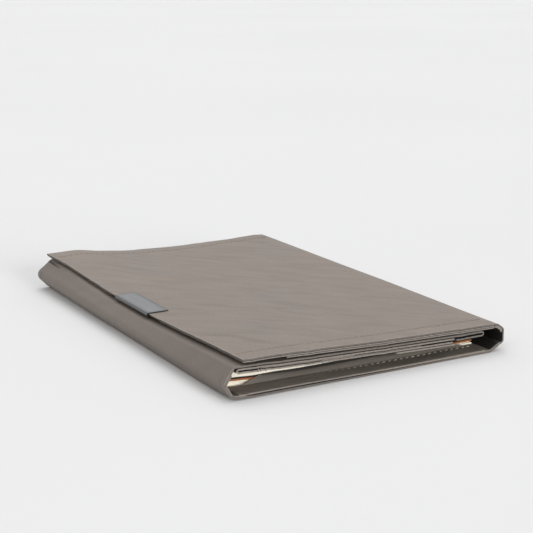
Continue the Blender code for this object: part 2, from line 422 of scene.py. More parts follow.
def texture_place(tree, stretch=(1, 1, 1), turn=0.0):
    """Surface coordinates in tenths of a metre, turned, with features stretched along the turned axes."""
    place = add(tree, "ShaderNodeUVMap", uv_map="UVMap")
    mapped = add(tree, "ShaderNodeMapping", {"Vector": place.outputs["UV"]}, vector_type="TEXTURE")
    mapped.inputs["Scale"].default_value = stretch
    mapped.inputs["Rotation"].default_value = (0, 0, turn)
    return mapped.outputs["Vector"]


def ramp(tree, factor, stops):
    node = add(tree, "ShaderNodeValToRGB", {"Fac": factor})
    elements = node.color_ramp.elements
    while len(elements) < len(stops):
        elements.new(0.5)
    for element, (position, colour) in zip(elements, stops):
        element.position = position
        element.color = (*colour, 1)
    return node.outputs["Color"]


def grey(value):
    return (value, value, value)


def shade(colour, factor):
    return tuple(channel * factor for channel in colour)


def blend_colours(tree, factor, a, b, mode="MIX"):
    node = add(tree, "ShaderNodeMix", data_type="RGBA", blend_type=mode)
    for socket, value in ((node.inputs[0], factor), (node.inputs[6], a), (node.inputs[7], b)):
        if isinstance(value, bpy.types.NodeSocket):
            tree.links.new(value, socket)
        else:
            socket.default_value = (*value, 1) if isinstance(value, tuple) else value
    return node.outputs[2]


def maths(tree, operation, a, b):
    node = add(tree, "ShaderNodeMath", operation=operation)
    for socket, value in zip(node.inputs, (a, b)):
        if isinstance(value, bpy.types.NodeSocket):
            tree.links.new(value, socket)
        else:
            socket.default_value = value
    return node.outputs[0]


def leather(name, colour, worn_colour, roughness=0.56, grain=1.0):
    """Coated leather-like sheet: cloudy colour, pebble grain, hair-thin creases, paler where worn, darker
    with painted shade.
    """
    material, tree, shader = start_material(name)
    clouds = add(tree, "ShaderNodeTexNoise", {"Vector": texture_place(tree), "Scale": 5.5, "Detail": 4})
    streaks = add(
        tree, "ShaderNodeTexNoise",
        {
            "Vector": texture_place(tree, (0.34, 0.075, 1), -0.85),
            "Scale": 2.2,
            "Detail": 5,
            "Distortion": 0.5,
        },
    )
    speckle = add(tree, "ShaderNodeTexNoise", {"Vector": texture_place(tree), "Scale": 150, "Detail": 2})
    cloudy = ramp(tree, clouds.outputs["Fac"], [(0.3, shade(colour, 0.92)), (0.72, shade(colour, 1.07))])
    streaky = ramp(tree, streaks.outputs["Fac"], [(0.3, grey(0.9)), (0.5, grey(1.0)), (0.72, grey(1.08))])
    fine = ramp(tree, speckle.outputs["Fac"], [(0.3, grey(0.9)), (0.7, grey(1.08))])
    base = blend_colours(tree, 1.0, cloudy, streaky, "MULTIPLY")
    base = blend_colours(tree, 1.0, base, fine, "MULTIPLY")
    # Painted shade: down to 0.55 of the colour where a sheet's shade attribute reaches a third.
    painted_shade = add(tree, "ShaderNodeAttribute", attribute_name="painted_shade")
    base = blend_colours(tree, maths(tree, "MULTIPLY", painted_shade.outputs["Fac"], 3.0), base, shade(colour, 0.55))
    wear_and_shade = add(tree, "ShaderNodeAttribute", attribute_name="wear_and_shade")
    patchy = add(tree, "ShaderNodeTexNoise", {"Vector": texture_place(tree), "Scale": 60, "Detail": 3})
    broken = maths(tree, "MULTIPLY", wear_and_shade.outputs["Fac"], patchy.outputs["Fac"])
    scuffed = ramp(tree, broken, [(0.22, grey(0.0)), (0.62, grey(0.8))])
    base = blend_colours(tree, scuffed, base, worn_colour)
    tree.links.new(base, shader.inputs["Base Color"])
    gloss = ramp(tree, clouds.outputs["Fac"], [(0.3, grey(roughness - 0.06)), (0.7, grey(roughness + 0.07))])
    tree.links.new(gloss, shader.inputs["Roughness"])
    shader.inputs["Specular IOR Level"].default_value = 0.5

    pebbles = add(tree, "ShaderNodeTexVoronoi", {"Vector": texture_place(tree), "Scale": 130})
    creases = add(
        tree, "ShaderNodeTexVoronoi",
        {"Vector": texture_place(tree, (1, 0.45, 1), -0.7), "Scale": 9}, feature="DISTANCE_TO_EDGE",
    )
    hair = ramp(tree, creases.outputs["Distance"], [(0.0, grey(0.0)), (0.02, grey(1.0))])
    rough = add(
        tree, "ShaderNodeBump",
        {"Height": pebbles.outputs["Distance"], "Strength": 0.22 * grain, "Distance": 0.05 * MM},
    )
    lined = add(
        tree, "ShaderNodeBump",
        {"Height": hair, "Strength": 0.18 * grain, "Distance": 0.06 * MM, "Normal": rough.outputs["Normal"]},
    )
    waved = add(
        tree, "ShaderNodeBump",
        {
            "Height": streaks.outputs["Fac"], "Strength": 0.2 * grain, "Distance": 0.2 * MM,
            "Normal": lined.outputs["Normal"],
        },
    )
    tree.links.new(waved.outputs["Normal"], shader.inputs["Normal"])
    return material


def cut_edge(name, colour):
    """The raw edge of a sheet: fibrous, paler than its faces."""
    material, tree, shader = start_material(name)
    place = texture_place(tree, (1, 1, 1))
    fibres = add(tree, "ShaderNodeTexNoise", {"Vector": place, "Scale": 90, "Detail": 4})
    base = ramp(tree, fibres.outputs["Fac"], [(0.3, shade(colour, 0.72)), (0.7, shade(colour, 1.15))])
    tree.links.new(base, shader.inputs["Base Color"])
    shader.inputs["Roughness"].default_value = 0.85
    bump = add(
        tree, "ShaderNodeBump", {"Height": fibres.outputs["Fac"], "Strength": 0.4, "Distance": 0.08 * MM}
    )
    tree.links.new(bump.outputs["Normal"], shader.inputs["Normal"])
    return material


def twisted_thread(name, colour):
    """Sewing thread, with painted shade in the grooves between its strands."""
    material, tree, shader = start_material(name)
    place = add(tree, "ShaderNodeTexCoord")
    strands = add(
        tree, "ShaderNodeTexWave",
        {"Vector": place.outputs["Object"], "Scale": 900, "Distortion": 1.5}, bands_direction="DIAGONAL",
    )
    # Painted shade in the grooves between the strands.
    base = ramp(tree, strands.outputs["Fac"], [(0.1, shade(colour, 0.6)), (0.7, shade(colour, 1.1))])
    tree.links.new(base, shader.inputs["Base Color"])
    shader.inputs["Roughness"].default_value = 0.8
    bump = add(
        tree, "ShaderNodeBump", {"Height": strands.outputs["Fac"], "Strength": 0.5, "Distance": 0.05 * MM}
    )
    tree.links.new(bump.outputs["Normal"], shader.inputs["Normal"])
    return material


def brushed_steel(name, colour):
    """Satin steel with brush marks along it, darker on its bends and edges: painted shade."""
    material, tree, shader = start_material(name)
    brushing = add(
        tree, "ShaderNodeTexNoise",
        {"Vector": texture_place(tree, (0.004, 0.17, 1)), "Scale": 6, "Detail": 4},
    )
    clouds = add(tree, "ShaderNodeTexNoise", {"Vector": texture_place(tree), "Scale": 22, "Detail": 3})
    base = ramp(tree, clouds.outputs["Fac"], [(0.3, shade(colour, 0.9)), (0.7, shade(colour, 1.08))])
    # Painted shade: darker on the bends and edges that the sheet marks.
    wear_and_shade = add(tree, "ShaderNodeAttribute", attribute_name="wear_and_shade")
    base = blend_colours(tree, maths(tree, "MULTIPLY", wear_and_shade.outputs["Fac"], 0.8), base, shade(colour, 0.4))
    tree.links.new(base, shader.inputs["Base Color"])
    gloss = ramp(tree, brushing.outputs["Fac"], [(0.25, grey(0.3)), (0.75, grey(0.48))])
    tree.links.new(gloss, shader.inputs["Roughness"])
    shader.inputs["Metallic"].default_value = 0.75
    bump = add(
        tree, "ShaderNodeBump", {"Height": brushing.outputs["Fac"], "Strength": 0.15, "Distance": 0.03 * MM}
    )
    tree.links.new(bump.outputs["Normal"], shader.inputs["Normal"])
    return material


def paper(name, colour, scale=140, contrast=0.12, roughness=0.85):
    """Uncoated paper or card: slight mottling and fibres."""
    material, tree, shader = start_material(name)
    fibres = add(
        tree, "ShaderNodeTexNoise", {"Vector": texture_place(tree, (1, 0.33, 1)), "Scale": scale, "Detail": 3}
    )
    clouds = add(tree, "ShaderNodeTexNoise", {"Vector": texture_place(tree), "Scale": 8, "Detail": 3})
    base = ramp(
        tree,
        fibres.outputs["Fac"],
        [(0.3, shade(colour, 1 - contrast)), (0.7, shade(colour, 1 + contrast / 2))],
    )
    tint = ramp(tree, clouds.outputs["Fac"], [(0.3, grey(0.94)), (0.7, grey(1.03))])
    base = blend_colours(tree, 1.0, base, tint, "MULTIPLY")
    tree.links.new(base, shader.inputs["Base Color"])
    shader.inputs["Roughness"].default_value = roughness
    bump = add(
        tree, "ShaderNodeBump", {"Height": fibres.outputs["Fac"], "Strength": 0.2, "Distance": 0.03 * MM}
    )
    tree.links.new(bump.outputs["Normal"], shader.inputs["Normal"])
    return material


OUTER = leather("outer_sheet_leather", (0.25, 0.209, 0.179), (0.38, 0.335, 0.29))
# The outer sheet's back face is near black: painted shade in the hollow spine and the gaps between layers.
UNDERFACE_PAINTED_SHADE = leather("outer_sheet_back_face_painted_shade", (0.014, 0.013, 0.012), (0.1, 0.09, 0.08), 0.75)
# The inner sheets' faces are near black: painted shade in the gaps between the layers at the ends.
INNER_PAINTED_SHADE = leather("inner_sheet_leather_painted_shade", (0.05, 0.043, 0.037), (0.16, 0.14, 0.12), 0.66)
BAND = leather("pocket_sheet_leather", (0.165, 0.143, 0.119), (0.3, 0.265, 0.23), 0.66, 1.4)
EDGE = cut_edge("outer_cut_edge", (0.125, 0.108, 0.095))
PALE_EDGE = cut_edge("front_cut_edge", (0.14, 0.122, 0.107))
INNER_EDGE = cut_edge("inner_cut_edge", (0.215, 0.188, 0.165))
SHOULDER_EDGE = cut_edge("shoulder_cut_edge", (0.2, 0.176, 0.155))
THREAD = twisted_thread("thread_grey", (0.22, 0.19, 0.165))
PALE_THREAD = twisted_thread("thread_pale", (0.27, 0.235, 0.205))
TACK_THREAD = twisted_thread("thread_tack", (0.25, 0.22, 0.19))
HEM_THREAD = twisted_thread("thread_hem", (0.4, 0.355, 0.3))
# Dark discs at the ends of the stitches: painted shade in the needle holes.
NEEDLE_HOLE_PAINTED_SHADE = leather("needle_hole_painted_shade", (0.09, 0.077, 0.067), (0.12, 0.1, 0.09), 0.9)
STEEL = brushed_steel("clip_steel_satin", (0.27, 0.276, 0.28))
# The clip's cut edges: near black, painted shade in the gaps at its ends.
STEEL_CUT_PAINTED_SHADE = brushed_steel("clip_steel_cut_painted_shade", (0.05, 0.05, 0.052))
MAGNET = brushed_steel("magnet_dark", (0.08, 0.08, 0.085))
PAGES = paper("page_paper_cream", (0.94, 0.89, 0.77), 140, 0.06)
KRAFT = paper("booklet_cover_orange", (0.36, 0.11, 0.022), 90, 0.2, 0.6)
DARK_CARD = paper("dark_cover_card", (0.022, 0.018, 0.015), 90, 0.1)
CREAM = paper("cream_cover_card", (0.9, 0.85, 0.72), 90, 0.08)
OUTER_SET = (OUTER, UNDERFACE_PAINTED_SHADE, EDGE)
INNER_SET = (INNER_PAINTED_SHADE, INNER_PAINTED_SHADE, INNER_EDGE)
BAND_SET = (BAND, BAND, INNER_EDGE)
GUSSET_SET = (UNDERFACE_PAINTED_SHADE, UNDERFACE_PAINTED_SHADE, INNER_EDGE)

ALONG = spaced(0, LENGTH, 1.25)


# ---- outer sheet


def flap_row(v):
    """The flap from its free edge, the shoulder and the upper half of the spine wall, at v."""
    start_u = 86.0
    shoulder = (SHOULDER_U, flap_top(SHOULDER_U, v), 2.0)
    ends = [(SPINE_TOP[0], SPINE_MIDDLE, 0), (*SPINE_TOP, 1.1), shoulder, (start_u, flap_top(start_u, v), 0)]
    path = filled(rounded(ends, 7)[:-1], {0: 2})
    last_arc = path[-1]
    for u in spaced(last_arc[0], start_u, 1.0)[1:]:
        path.append((u, mix(last_arc[1], flap_top(u, v), smooth((last_arc[0] - u) / 4))))
    path += [(u, flap_top(u, v)) for u in np.linspace(start_u, flap_end(v), 90)[1:]]
    return [(u, v, w) for u, w in reversed(path)]


def back_row(v):
    """The lower half of the spine wall, the gusset and the back panel up to its seam, at v."""
    start, end = (SEAM_U + SEAM_LAP, 0, 0), (SPINE_CREASE[0], SPINE_MIDDLE, 0)
    corners = [start, (BACK_WIDTH, 0, 1.0), (*SPINE_CREASE, 0.9), end]
    path = filled(rounded(corners, 6), {0: 60, 7: 4, 14: 2})
    return [(u, v, w + lift(u, v)) for u, w in reversed(path)]


def front_row(v):
    """The seam on the underside, the left wall, and the front panel with its turned-under end, at v."""
    foot = (foot_u(v), lift(foot_u(v), v), foot_radius(v))
    bulge = (*left_bulge(v), bulge_radius(v))
    far = towards_far(v)
    first_u = 7.5
    top_u = mix(0.6, 3.0, far)
    top = (top_u, front_top(top_u, v) - 0.05, mix(1.0, 2.4, far))
    start = (SEAM_U + SEAM_LAP, lift(SEAM_U + SEAM_LAP, v), 0)
    corners = [start, foot, bulge, top, (first_u, front_top(first_u, v), 0)]
    path = filled(rounded(corners, 7)[:-1], {0: 1, 8: 3, 16: 4})
    end_u, radius = 86.6, 0.82
    path += [(u, front_top(u, v)) for u in np.linspace(first_u, end_u, 72)]
    top_w = front_top(end_u, v)
    for step in range(1, 9):
        angle = math.pi * step / 8
        path.append((end_u + radius * math.sin(angle), top_w - radius + radius * math.cos(angle)))
    path += [(u, front_top(u, v) - 2 * radius) for u in np.linspace(end_u, 77, 9)[1:]]
    return [(u, v, w) for u, w in path]


def make_outer_sheet():
    # The depth of the flap's faint creases also darkens them: painted shade.
    flap = sheet_mesh(
        "outer_flap", [flap_row(v) for v in ALONG], SHEET, OUTER_SET, ("last_column",), (-8, -15),
        creases=folded,
    )
    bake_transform(flap)
    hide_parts("flap_cover")
    back = sheet_mesh(
        "outer_back", [back_row(v) for v in ALONG], SHEET, OUTER_SET,
        ("first_column", "last_column"), (-66, -77),
    )
    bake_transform(back)
    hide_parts("back_cover", "spine_gusset", "spine_wall")

    def front_painted_shade(u, v):
        """Painted shade, chosen: the wall darker than the flap, the part under the flap darker so the gap
        reads dark.
        """
        wall = 0.22 * (1 - smooth((u - 0.5) / 3.0))
        covered = 0.3 * smooth((u - flap_end(v)) / 1.5)
        return max(wall, covered)

    front = sheet_mesh(
        "outer_front", [front_row(v) for v in ALONG], SHEET, (OUTER, UNDERFACE_PAINTED_SHADE, PALE_EDGE), ("first_column",),
        creases=front_painted_shade,
    )
    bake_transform(front)
    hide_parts("front_cover", "left_wall_lower", "left_wall_upper")


# ---- inner sheets


def loop_row(v, upper_end, turn, lower_end, height, radius):
    """An inner sheet folded back on itself, at v: a leg under height(u, v), a rounded loop, a lower leg.

    The path runs so that its outward side is on the left of the loop, for either hand of loop.
    """
    way = 1 if turn > upper_end else -1
    path = [(u, height(u, v)) for u in np.linspace(upper_end, turn, 60)]
    top_w = height(turn, v)
    for step in range(1, 8):
        angle = math.pi * step / 8
        swell = 1 + 0.4 * math.sin(angle)
        loop_u = turn + way * radius * math.sin(angle) * swell
        path.append((loop_u, top_w - radius + radius * math.cos(angle)))
    path += [(u, height(u, v) - 2 * radius) for u in np.linspace(turn, lower_end, 60)]
    if way < 0:
        path.reverse()
    return [(u, v, w) for u, w in path]


def under_flap(u, v):
    return flap_top(u, v) - SHEET - 0.12


def under_front(u, v):
    return front_top(u, v) - SHEET - PANEL_GAP


def clip_clearance(v):
    """How far the pocket under the flap stands back from the clip, as a share."""
    low, high = CLIP_V
    return 1 - smooth(max(low - 1 - v, v - high - 1, 0.0) / 5)


def make_inner_sheets():
    grid = [
        loop_row(v, flap_end(v) + 0.3 + 8.7 * clip_clearance(v), 90.9, 17.5, under_flap, 0.43)
        for v in ALONG
    ]
    pocket = sheet_mesh("flap_pocket_sheet", grid, POCKET_SHEET, INNER_SET)
    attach(pocket, "flap")
    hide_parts("flap_pocket")

    grid = [loop_row(v, 76, 2.2, 75.5, under_front, LOOP_RADIUS) for v in ALONG]
    lining = sheet_mesh("front_lining_sheet", grid, CARD_SHEET, INNER_SET)
    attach(lining, "front_panel")
    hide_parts("front_lining")

    between = SHEET + PANEL_GAP + CARD_SHEET + 0.05
    below = SHEET + PANEL_GAP + 2 * LOOP_RADIUS + 0.22
    places = ((9.5, 40.0, between), (29.0, 64.0, between + 0.18), (55.0, 76.4, below))
    for number, (start, end, depth) in enumerate(places, 1):
        grid = [[(u, v, front_top(u, v) - depth) for u in spaced(start, end, 1.0)] for v in ALONG]
        thickness = 0.15 if depth < below else CARD_SHEET
        card = sheet_mesh(f"card_pocket_sheet_{number}", grid, thickness, INNER_SET)
        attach(card, "front_panel")
        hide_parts(f"card_pocket_{number}")


def make_back_inside():
    """The back panel's lining and the pocket sewn on it, mitred at both front corners."""
    lining_top = SHEET + CONTACT + HEM_SHEET
    lean = (Vector(SPINE_CREASE) - Vector((BACK_WIDTH, 0))).normalized()
    bend = (BACK_WIDTH - lining_top * lean.y / 2, lining_top, 1.2)
    gusset_end = Vector(SPINE_CREASE) - lean * 1.3 + Vector((-lean.y, lean.x)) * lining_top

    def lining_row(v):
        """Down the inside of the left wall, across the back panel and up the gusset."""
        outside = [Vector(point[::2]) for point in front_row(v)]
        wall = []
        for before, here, after in zip(outside, outside[1:], outside[2:]):
            way = (after - before).normalized()
            wall.append(here + Vector((way.y, -way.x)) * lining_top)
        wall = [place for place in wall if lining_top + 0.5 < place.y < 7.6 and place.x < 4]
        wall.reverse()
        lengths = np.cumsum([0.0] + [(b - a).length for a, b in zip(wall, wall[1:])])
        even = np.linspace(0, lengths[-1], WALL_COLUMNS)
        down_u = np.interp(even, lengths, [p.x for p in wall])
        down_w = np.interp(even, lengths, [p.y for p in wall])
        down = list(zip(down_u, down_w))
        foot = (down[-1][0] + 0.3, lining_top + lift(down[-1][0], v), 0.0)
        flat = filled(rounded([foot, bend, (*gusset_end, 0)], 6), {0: 60, 7: 3})
        return [(u, v, w) for u, w in down] + [(u, v, w + lift(u, v) * (u > foot[0])) for u, w in flat]

    grid = [lining_row(v) for v in ALONG]
    up_gusset = (WALL_COLUMNS + FLAT_COLUMNS, GUSSET_SET)
    lining = sheet_mesh("back_lining_sheet", grid, HEM_SHEET, BAND_SET, beyond=up_gusset)
    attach(lining, "back")
    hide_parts("back_lining")

    sewn = lining_top + CONTACT + HEM_SHEET
    riser, run_up, reach = 6.4, 1.8, 60.0
    corner_left = through([(0, 2.0), (5.6, 2.0), (8.4, 14.0), (11, 15.0), (26, 4.0), (60, 2.5)])
    corner_right = through([(0, 88.2), (5.6, 88.2), (8.4, 80.0), (11, 79.5), (26, 87.0), (60, 87.5)])

    def pocket_top(u, v):
        lifted = smooth((v - riser) / run_up)
        crest = 2.62 + 0.1 * math.sin(u / 6.5) * (1 - smooth(v / 40)) + over_lower(u, v)
        pucker = 0.14 * noise.noise(Vector((u / 4.5, v / 6, 2.2))) * smooth(v / 2) * (1 - lifted)
        return mix(sewn, crest, lifted) + pucker + lift(u, v)

    lengths = spaced(0, riser - 1, 0.9)
    lengths += spaced(riser - 1, riser + 3.5, 0.25)[1:]
    lengths += spaced(riser + 3.5, reach, 1.2)[1:]
    grid = []
    for v in lengths:
        left, right = corner_left(v), corner_right(v)
        grid.append([(u, v, pocket_top(u, v)) for u in np.linspace(left, right, 96)])

    def pocket_crest_painted_shade(u, v):
        """A chosen painted shade along the crest of the pocket."""
        return 0.32 * smooth((v - riser) / run_up)

    pocket = sheet_mesh("passport_pocket_sheet", grid, HEM_SHEET, BAND_SET, creases=pocket_crest_painted_shade)
    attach(pocket, "back")
    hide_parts("passport_pocket")


def make_shoulder_hem():
    """The near and far ends of the shoulder turned in, filling its corner."""
    for side, start, end in (("near", 0.0, 7.0), ("far", LENGTH - 7.0, LENGTH)):
        rows = []
        for v in spaced(start, end, 1.0):
            top = flap_top(SHOULDER_U, v) - SHEET - 0.1
            corners = [(94.5, 6.2, 0), (94.5, 7.0, 0.5), (92.7, top, 0.8), (91.75, top + 0.1, 0)]
            rows.append([(u, v, w) for u, w in reversed(rounded(corners, 5))])
        hem = sheet_mesh(f"shoulder_hem_{side}", rows, 0.75, (UNDERFACE_PAINTED_SHADE, UNDERFACE_PAINTED_SHADE, SHOULDER_EDGE))
        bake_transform(hem)


# ---- booklets


def make_booklet(name, body, bottom, top, leaves, cover, under_finish, upper_finish):
    """A folded cover and its leaves. bottom and top are heights at (u, v), cover is the cover's thickness."""
    (left, right), (near, far), _ = across(f"{name}_cover")
    radius = (top(left, near) - bottom(left, near)) / 2
    rows = []
    for v in spaced(near, far, 2.5):
        path = [(u, top(u, v)) for u in spaced(right, left + radius, 1.5)]
        middle = top(left + radius, v) - radius
        path += [
            (left + radius - radius * math.sin(a), middle + radius * math.cos(a))
            for a in np.linspace(0, math.pi, 9)[1:-1]
        ]
        path += [(u, bottom(u, v)) for u in spaced(left + radius, right, 1.5)]
        rows.append([(u, v, w) for u, w in reversed(path)])
    fold = len(rows[0]) // 2
    upper = (fold, (upper_finish,) * 3)
    made = sheet_mesh(f"{name}_cover_card", rows, cover, (under_finish,) * 3, beyond=upper)
    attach(made, body)
    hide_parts(f"{name}_cover")

    shape = bmesh.new()
    uv = shape.loops.layers.uv.new("UVMap")
    for leaf in range(leaves):
        share = (leaf + 0.5) / leaves
        inset = 0.5 + 0.25 * noise.noise(Vector((leaf * 1.7, 0.3, 0.9)))
        trim = 0.5 + 0.3 * noise.noise(Vector((leaf * 2.3, 4.1, 0.2)))
        thick = 0.92 / leaves
        columns = spaced(left + 0.8, right - inset, 2.0)
        rows = spaced(near + trim, far - trim, 4.0)
        layers = []
        for side in (1, -1):
            grid = []
            for v in rows:
                line = []
                for u in columns:
                    low = bottom(u, v) + cover + 0.04
                    high = top(u, v) - cover - 0.04
                    high = max(high, low + 0.1)
                    spot = share + side * thick / 2
                    line.append(shape.verts.new(at(u, v, mix(low, high, spot))))
                grid.append(line)
            layers.append(grid)
        upper, lower = layers
        faces = []
        for r in range(len(rows) - 1):
            for c in range(len(columns) - 1):
                faces.append((upper[r][c], upper[r][c + 1], upper[r + 1][c + 1], upper[r + 1][c]))
                faces.append((lower[r][c], lower[r + 1][c], lower[r + 1][c + 1], lower[r][c + 1]))
        last_r, last_c = len(rows) - 1, len(columns) - 1
        for c in range(last_c):
            faces.append((upper[0][c + 1], upper[0][c], lower[0][c], lower[0][c + 1]))
            faces.append((upper[last_r][c], upper[last_r][c + 1], lower[last_r][c + 1], lower[last_r][c]))
        for r in range(last_r):
            faces.append((upper[r][0], upper[r + 1][0], lower[r + 1][0], lower[r][0]))
            faces.append((upper[r + 1][last_c], upper[r][last_c], lower[r][last_c], lower[r + 1][last_c]))
        for corners in faces:
            face = shape.faces.new(corners)
            for loop in face.loops:
                loop[uv].uv = (loop.vert.co.x * 10, (loop.vert.co.y + loop.vert.co.z * 3) * 10)
    mesh = bpy.data.meshes.new(f"{name}_leaves")
    shape.to_mesh(mesh)
    shape.free()
    mesh.materials.append(PAGES)
    pages = bpy.data.objects.new(f"{name}_leaves", mesh)
    bpy.context.scene.collection.objects.link(pages)
    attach(pages, body)
    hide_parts(f"{name}_pages")


# ---- clip, magnet and stitches


def make_clip():
    low, high = CLIP_V[0] + 1.3, CLIP_V[1] + 0.3
    plate = 0.34
    edge = flap_end((low + high) / 2)
    outer_w = CLIP_FLAT + 0.04 + plate
    half = (SHEET + 0.08) / 2 + plate
    right = edge + 6.7
    fold_u = edge - 0.3
    rows = []
    for v in spaced(low, high, 0.9):
        path = [(u, outer_w) for u in np.linspace(right, fold_u, 12)]
        path += [
            (fold_u - half * 0.8 * math.sin(a), outer_w - half + half * math.cos(a))
            for a in np.linspace(0, math.pi, 11)[1:-1]
        ]
        path += [(u, outer_w - 2 * half) for u in np.linspace(fold_u, right, 12)]
        rows.append([(u, v, w) for u, w in reversed(path)])
    # Its marked fold lines darken the steel: painted shade.
    clip = sheet_mesh("steel_edge_clip", rows, plate, (STEEL, STEEL, STEEL_CUT_PAINTED_SHADE), wear_and_shade_lines=(13, 16, 19))
    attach(clip, "flap")
    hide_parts("flap_clip")


def make_magnet():
    (left, right), (near, far), (low, high) = across("closure_magnet")
    shape = bmesh.new()
    bmesh.ops.create_cube(shape, size=1)
    for corner in shape.verts:
        u = mix(left, right, corner.co.x + 0.5)
        v = mix(near, far, corner.co.y + 0.5)
        w = front_top(5.5, 75) - SHEET - PANEL_GAP - 2 * LOOP_RADIUS - 0.55 + 0.45 * (corner.co.z + 0.5)
        corner.co = at(u, v, w)
    bmesh.ops.bevel(shape, geom=shape.edges[:], offset=0.15 * MM, segments=3, profile=0.5, affect="EDGES")
    uv = shape.loops.layers.uv.new("UVMap")
    for face in shape.faces:
        face.smooth = True
        for loop in face.loops:
            loop[uv].uv = (loop.vert.co.x * 10, loop.vert.co.y * 10)
    mesh = bpy.data.meshes.new("magnet_bar")
    shape.to_mesh(mesh)
    shape.free()
    mesh.materials.append(MAGNET)
    bar = bpy.data.objects.new("magnet_bar", mesh)
    bpy.context.scene.collection.objects.link(bar)
    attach(bar, "front_panel")
    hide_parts("closure_magnet")


def make_stitches(name, line, body, cad_node, finish, pitch=3.2, stitch=2.35, radius=0.17, rise=0.08):
    """A row of separate stitches along line, a list of (place, outward) pairs in metres."""
    sides, rings = 8, 7
    vertices, faces, kinds = [], [], []
    lengths = [0.0]
    for (a, _), (b, _) in zip(line, line[1:]):
        lengths.append(lengths[-1] + (b - a).length)

    def sample(distance):
        for i in range(len(lengths) - 1):
            if distance <= lengths[i + 1] or i == len(lengths) - 2:
                t = (distance - lengths[i]) / (lengths[i + 1] - lengths[i])
                place = line[i][0].lerp(line[i + 1][0], t)
                return place, line[i][1].lerp(line[i + 1][1], t).normalized()

    count = int((lengths[-1] / MM - stitch) / pitch) + 1
    for number in range(count):
        start = number * pitch + 0.12 * noise.noise(Vector((number * 0.9, 5.5, radius)))
        base = len(vertices)
        for ring in range(rings):
            t = ring / (rings - 1)
            here, out = sample((start + stitch * t) * MM)
            ahead, _ = sample((start + stitch * t) * MM + 0.0001)
            way = (ahead - here).normalized()
            side = way.cross(out).normalized()
            dome = math.sin(math.pi * t)
            centre = here + out * (rise * dome - radius * 1.1 * (1 - dome)) * MM
            size = radius * (0.62 + 0.38 * math.sqrt(dome)) * MM
            for k in range(sides):
                angle = 2 * math.pi * k / sides
                vertices.append(centre + side * math.cos(angle) * size + out * math.sin(angle) * size)
        for ring in range(rings - 1):
            for k in range(sides):
                a = base + ring * sides + k
                b = base + ring * sides + (k + 1) % sides
                faces.append((b, a, a + sides, b + sides))
        faces.append(tuple(base + k for k in range(sides)))
        faces.append(tuple(base + (rings - 1) * sides + k for k in reversed(range(sides))))
        kinds += [0] * ((rings - 1) * sides + 2)
        # The dark discs at both ends stand for painted shade in the needle holes.
        for t in (0.0, 1.0):
            here, out = sample((start + stitch * t) * MM)
            ahead, _ = sample((start + stitch * t) * MM + 0.0001)
            way = (ahead - here).normalized()
            side = way.cross(out).normalized()
            base = len(vertices)
            for height in (0.02, -0.15):
                for k in range(sides):
                    angle = 2 * math.pi * k / sides
                    spot = way * math.cos(angle) * 1.2 + side * math.sin(angle) * 1.1
                    vertices.append(here + (spot * radius + out * height) * MM)
            for k in range(sides):
                n = (k + 1) % sides
                faces.append((base + n, base + k, base + sides + k, base + sides + n))
            faces.append(tuple(base + k for k in range(sides)))
            faces.append(tuple(base + sides + k for k in reversed(range(sides))))
            kinds += [1] * (sides + 2)
    mesh = bpy.data.meshes.new(name)
    mesh.from_pydata([tuple(p) for p in vertices], [], faces)
    mesh.polygons.foreach_set("use_smooth", [True] * len(faces))
    mesh.materials.append(finish)
    mesh.materials.append(NEEDLE_HOLE_PAINTED_SHADE)
    mesh.polygons.foreach_set("material_index", np.array(kinds, dtype=np.int32))
    made = bpy.data.objects.new(name, mesh)
    bpy.context.scene.collection.objects.link(made)
    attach(made, body)
    if cad_node:
        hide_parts(cad_node)
    return made


def surface_line(height, v, u_from, u_to, step=1.5):
    """(place, outward) pairs along a surface of height(u, v), from u_from to u_to."""
    line = []
    for u in spaced(u_from, u_to, step):
        slope = (height(u + 0.3, v) - height(u - 0.3, v)) / 0.6
        line.append((at(u, v, height(u, v)), Vector((-slope, 0, 1)).normalized()))
    return line


def make_hem_stitches():
    for side, v in (("near", HEM), ("far", LENGTH - HEM)):
        line = surface_line(flap_top, v, flap_end(v) + 1.5, 90.5)
        node = f"flap_thread_{side}"
        make_stitches(f"flap_stitches_{side}", line, "flap", node, PALE_THREAD, 2.1, 1.45, 0.17, 0.12)
        layers = 2 if side == "near" else 1
        sewn = SHEET + layers * (CONTACT + HEM_SHEET)
        row_v = v - 0.4 if side == "near" else v + 0.4

        def sewn_top(u, v, sewn=sewn):
            return sewn + lift(u, v)

        line = surface_line(sewn_top, row_v, 3.2, 87.5)
        rise = 0.05 if side == "near" else -0.02
        node = f"back_thread_{side}"
        make_stitches(f"back_stitches_{side}", line, "back", node, HEM_THREAD, 2.1, 1.5, 0.15, rise)
        wall_v = WALL_HEM if side == "near" else LENGTH - WALL_HEM
        wall = [point for point in front_row(wall_v) if 0.8 < point[2] < 8.6 and point[0] < 4]
        line = []
        for before, here, after in zip(wall, wall[1:], wall[2:]):
            way = at(*after) - at(*before)
            line.append((at(*here), Vector((-way.z, 0, way.x)).normalized()))
        node = f"wall_thread_{side}"
        make_stitches(f"wall_stitches_{side}", line, "back", node, THREAD, 1.9, 1.3, 0.14, 0.03)


def make_bar_tacks():
    """Short upright stitches on the near and far edges, where each card pocket starts."""
    for side, v, out in (("near", 0.0, -1), ("far", LENGTH, 1)):
        for number, u in enumerate((8.1, 9.0, 10.6, 29.3, 54.8)):
            line = []
            for w_down in spaced(0.55, 2.35, 0.3):
                w = front_top(u, v) - w_down
                line.append((at(u, v + out * 0.1, w), Vector((0, out, 0))))
            name = f"bar_tack_{side}_{number + 1}"
            make_stitches(name, line, "front_panel", None, TACK_THREAD, 1.9, 1.75, 0.11)


# ---- studio


